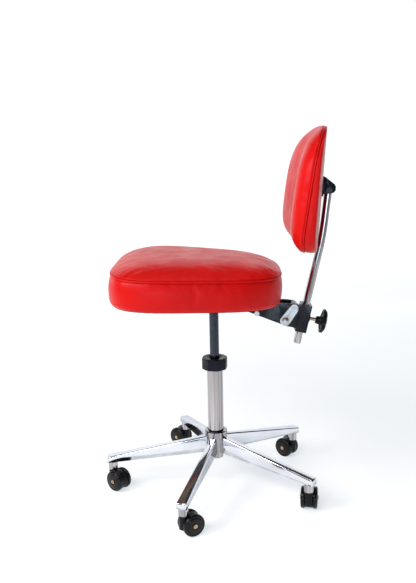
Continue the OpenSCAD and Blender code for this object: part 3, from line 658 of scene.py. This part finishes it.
def make_pad():
    shares = np.concatenate([np.linspace(0.04, 0.86, 22),
                             [0.89, 0.915, 0.935, 0.953, 0.968, 0.98, 0.989, 0.996]])
    crown = [(0.8, PAD_SEAM + PAD_RIM, 1, s, PAD_CROWN) for s in shares]
    seam = [(inset, PAD_SEAM + rise, 1, 1, 0)
            for inset, rise in ((0.6, PAD_RIM - 1.2), (0.9, 2.6), (2.4, 1), (2.6, -0.5), (1.3, -2.2))]
    band = [(0.5 - 0.5 * math.sin(math.pi * t), PAD_SEAM - 3.5 - (PAD_SEAM - 8) * t, 1 - 0.55 * t, 1, 0)
            for t in np.linspace(0, 1, 5)]
    rear = [(1.2, 2.2, 0.1, 1, 0), (2.4, 0.9, 0.03, 1, 0), (4.4, 0.4, 0, 1, 0)]
    rear += [(4.4, 0.35, 0, s, 0) for s in (0.975, 0.94, 0.88, 0.8, 0.7, 0.58, 0.45, 0.32, 0.2, 0.1)]
    profile = crown + seam + band + rear
    place = place_pad()
    held = []
    mesh = ring_mesh("back_cushion", [pad_ring(*p) for p in profile], place)
    for k, p in enumerate(profile):
        at_seam = len(crown) + 2 <= k <= len(crown) + 3
        at_back = k >= len(crown) + len(seam) + len(band)
        held += [1.0 if at_seam or at_back else (0.6 if abs(k - len(crown) - 2.5) < 3 else 0.0)] * PAD_POINTS
    held += [0.0, 1.0]
    stuffed(mesh, held, PRESSURE, PAD_SWELL, 0.008)
    line = [place @ Vector(p) for p in pad_ring(1.3, PAD_SEAM, 1, 1, 0, 800)]
    gathered(mesh, line, (1, 5, 4), 34, 0.4 * MM, 10 * MM)
    soft_piece("back_cushion", mesh, "pad", ["back_cover", "back_foam"])

    path = pad_ring(0.4, PAD_SEAM, 1, 1, 0, 320)
    swell = [0.06 * noise.noise(Vector((i * 0.29, 4, 0))) for i in range(len(path))]
    make_trim("back_welt", path, 1.6, (0, 1, 0), place, "pad", ["back_piping"], swell=swell)
    make_trim("back_panel_seam", pad_ring(9, 0.75, 0, 1, 0, 300), 0.6, (0, 1, 0), place, "pad", sides=8)


# --- base ----------------------------------------------------------------------
def make_arm(index):
    """Pressed channel with rounded folds along its top, closed at its tip and open below."""
    bm = bmesh.new()
    corners = []
    for r, top in ((ARM_ROOT_R, ARM_HUB_Z), (ARM_TOP_R, ARM_HUB_Z), (ARM_REACH, ARM_TIP_Z)):
        share = (r - ARM_FROM) / (ARM_REACH - ARM_FROM)
        half = (ARM_WIDTHS[0] + (ARM_WIDTHS[1] - ARM_WIDTHS[0]) * share) / 2
        foot = (ARM_HUB_Z - ARM_HEIGHTS[0]) * (1 - share) + (ARM_TIP_Z - ARM_HEIGHTS[1]) * share
        corners.append([bm.verts.new(Vector(p) * MM) for p in
                        ((r, -half, foot), (r, -half, top), (r, half, top), (r, half, foot))])
    for a, b in zip(corners, corners[1:]):
        for k in range(3):
            bm.faces.new((a[k], b[k], b[k + 1], a[k + 1]))
    bm.faces.new(corners[-1])
    bmesh.ops.recalc_face_normals(bm, faces=bm.faces)
    folds = [e for e in bm.edges if not e.is_boundary
             and e.calc_face_angle(0) > math.radians(30)]
    bmesh.ops.bevel(bm, geom=folds, offset=3.2 * MM, segments=5, profile=0.5, affect="EDGES")
    mesh = bpy.data.meshes.new(f"arm_{index}")
    bm.to_mesh(mesh)
    bm.free()
    mesh.transform(Matrix.Rotation(math.radians(ARM_ANGLES[index - 1]), 4, "Z"))
    mesh.update()
    keep_sharp(mesh, 40)
    top = max(mesh.polygons, key=lambda p: p.area * abs(p.normal.z))
    if top.normal.z < 0:
        mesh.flip_normals()
    made = piece(f"arm_{index}", mesh, "base", CHROME, [f"base_arm_{index}"])
    sheet = made.modifiers.new("sheet", "SOLIDIFY")
    sheet.thickness = ARM_SHEET * MM
    sheet.offset = -1
    sheet.use_even_offset = True


def lathe(name, profile, count=96):
    """Closed profile of (radius, height) turned round Z, in mm."""
    verts = [(r * math.cos(a), r * math.sin(a), h) for r, h in profile
             for a in np.linspace(0, 2 * math.pi, count, endpoint=False)]
    return faced(mesh_of(name, [Vector(v) * MM for v in verts], loft_faces(len(profile), count, True)))


def arc(middle, radius, start, end, count):
    return [(middle[0] + radius * math.cos(math.radians(a)), middle[1] + radius * math.sin(math.radians(a)))
            for a in np.linspace(start, end, count)]


def wheel_profile():
    """Tread, stepped face ring and dished middle, from the inner face outwards."""
    r, w = WHEEL_R, WHEEL_W
    return ([(AXLE_R, 0.1), (r - 1.6, 0.1)] + arc((r - 1.5, 1.6), 1.5, -90, 0, 6)
            + [(r, 2.6), (r - 0.25, 2.8), (r - 0.25, 3.2), (r, 3.4)]
            + arc((r - 4, w - 5.0), 4, 0, 80, 9)
            + [(r - 4.2, w - 1.1), (r - 5.2, w - 1.9), (r - 6.2, w - 1.9), (r - 6.7, w - 1.1)]
            + [(r - 7.3, w - 0.8), (11, w - 0.1), (9, w), (7.2, w), (6.6, w - 0.5), (5.6, w - 0.6),
               (AXLE_R, w - 0.6)])


def make_caster(index):
    """Two wheels, hood, stem and axle under an arm, trailing in the castor's own direction."""
    arm, trail = math.radians(ARM_ANGLES[index - 1]), math.radians(TRAIL_ANGLES[index - 1])
    stem = (Matrix.Rotation(arm, 4, "Z") @ Matrix.Translation((STEM_R * MM, 0, 0))
            @ Matrix.Rotation(trail - arm, 4, "Z"))
    for side, letter in ((1, "a"), (-1, "b")):
        mesh = lathe(f"wheel_{index}{letter}", wheel_profile())
        mesh.transform(stem @ Matrix.Translation((TRAIL * MM, 0, WHEEL_R * MM))
                       @ Matrix.Rotation(math.radians(-90 * side), 4, "X")
                       @ Matrix.Translation((0, 0, WHEEL_FROM * MM)))
        faced(mesh)
        keep_sharp(mesh, 50)
        piece(f"wheel_face_{index}{letter}", mesh, f"wheel_{index}{letter}", WHEEL,
              [f"caster_wheel_{index}{letter}"])
    refined(f"caster_body_{index}", f"caster_{index}", MOULDED, 0.9, 3)
    finish_node(f"caster_stem_{index}", ZINC)
    finish_node(f"caster_axle_{index}", BRASS)


# --- column and back mechanism --------------------------------------------------
def post_ring(distance, inset):
    """Flat-oval section of the post, at a distance along its middle line."""
    turn = min(POST_BEND, max(0.0, math.degrees((distance - POST_KNEE) / POST_BEND_R)))
    a = math.radians(turn)
    bend = POST_BEND_R * math.radians(POST_BEND)
    after = max(0.0, distance - POST_KNEE - bend)
    y = -POST_BEND_R * (1 - math.cos(a)) - after * math.sin(a)
    z = min(distance, POST_KNEE) + POST_BEND_R * math.sin(a) + after * math.cos(a)
    r = (POST_SIZE[1] - 2 * inset) / 2
    flat = (POST_SIZE[0] - POST_SIZE[1]) / 2
    points = []
    for k in range(POST_POINTS):
        t = 2 * math.pi * (k + 0.5) / POST_POINTS
        side, out = math.copysign(flat, math.cos(t)), r * math.sin(t)
        points.append((side + r * math.cos(t), y + out * math.cos(a), z + out * math.sin(a)))
    return points


def make_post():
    bend = POST_BEND_R * math.radians(POST_BEND)
    end = POST_KNEE + bend + POST_TOP
    runs = np.concatenate([np.linspace(POST_FOOT + 0.8, POST_KNEE, 8),
                           np.linspace(POST_KNEE, POST_KNEE + bend, 9)[1:],
                           np.linspace(POST_KNEE + bend, end - 0.8, 5)[1:]])
    outer = ([post_ring(POST_FOOT, 0.7), post_ring(POST_FOOT + 0.2, 0.25)] + [post_ring(s, 0) for s in runs]
             + [post_ring(end - 0.2, 0.25), post_ring(end, 0.7)])
    inner = [post_ring(s, POST_WALL) for s in [end, *runs[::-1], POST_FOOT]]
    rings = outer + inner
    place = place_post()
    mesh = mesh_of("post_tube", [place @ Vector(p) for ring in rings for p in ring],
                   loft_faces(len(rings), POST_POINTS, True))
    faced(mesh)
    keep_sharp(mesh, 40)
    piece("post_tube", mesh, "post", CHROME_PAINTED_STREAKS, ["back_post"])


def make_knob():
    """Star knob with seven rounded lobes on a tapered hub."""
    count = KNOB_LOBES * LOBE_POINTS
    scallop_r, scallop_at = 9, KNOB_R + 5

    def share(angle):
        nearest = (angle - 12 + 180 / KNOB_LOBES) % (360 / KNOB_LOBES) - 180 / KNOB_LOBES
        a = math.radians(nearest)
        inside = scallop_r ** 2 - (scallop_at * math.sin(a)) ** 2
        cut = scallop_at * math.cos(a) - math.sqrt(inside) if inside > 0 else KNOB_R
        soft = -2.0 * math.log(math.exp(-cut / 2.0) + math.exp(-KNOB_R / 2.0))
        return min(1.0, (soft + 0.6) / KNOB_R)

    # each as (radius, height, share of the lobes' shape)
    stations = [(4.2, 30, 0), (7.6, 30, 0), (8.5, 30.6, 0), (10.6, 42, 0), (12.2, 45.6, 0),
                (14, 46, 0.1), (21.5, 46, 0.9), (23.2, 45, 1), (24.2, 43.6, 1), (25.4, 43, 1),
                (27.2, 43.3, 1), (28.2, 44.3, 1), (KNOB_R, 45.6, 1), (KNOB_R, 48.6, 1), (28.0, 49.8, 1),
                (26.8, 50.9, 1), (24.5, 52.4, 1), (21.5, 53.6, 0.9), (18, 54, 0.6), (12, 54, 0.2),
                (7.5, 53.7, 0), (6.8, 52.8, 0), (0.6, 52.7, 0)]
    verts = []
    for r, h, lobed in stations:
        for k in range(count):
            angle = 360 * k / count
            radius, a = r * (1 - lobed * (1 - share(angle))), math.radians(angle)
            verts.append((radius * math.cos(a), radius * math.sin(a), h))
    verts.append((0, 0, 52.7))
    verts.append((0, 0, 44.8))
    faces = loft_faces(len(stations), count)
    last = (len(stations) - 1) * count
    faces += [(last + k, last + (k + 1) % count, len(verts) - 2) for k in range(count)]
    faces += [(k, (k + 1) % count, len(verts) - 1) for k in range(count)]
    mesh = mesh_of("star_knob", [Vector(v) for v in verts], faces)
    mesh.transform(place_post() @ Matrix.Rotation(math.radians(-90), 4, "X"))
    faced(mesh)
    keep_sharp(mesh, 55)
    piece("star_knob", mesh, "clamp_knob", MOULDED, ["knob"])


def make_hard_parts():
    for node in ("base_hub", "caster_sockets", "column_tube"):
        finish_node(node, CHROME_PAINTED_STREAKS)
    for node in ("column_bush", "spindle_guide"):
        finish_node(node, NYLON)
    for node in ("swivel_bearing", "seat_screws", "bracket_bolts", "pivot_bolt", "link_bolt"):
        finish_node(node, ZINC)
    finish_node("pad_pin", PAINT)
    for node in ("clamp_shoe", "knob_stud"):
        finish_node(node, BRASS)
    finish_node("spindle", DARK_STEEL)
    for node in ("seat_board", "back_board"):
        finish_node(node, PLYWOOD_IN_PAINTED_SHADE)
    refined("clamp_collar", "collar", COLLAR, 0.9, 3)
    refined("seat_plate", "seat", PAINT, 0.5)
    refined("back_bracket", "seat", PAINT, 0.5)
    refined("back_clamp", "back_tilt", PAINT, 0.9, 3)
    refined("tilt_links", "back_tilt", ZINC, 0.5)
    refined("pad_bracket", "pad", PAINT, 0.6)


make_hard_parts()
make_post()
make_knob()
for number in range(1, 6):
    make_arm(number)
    make_caster(number)
make_seat()
make_pad()
scene.frame_set(1)
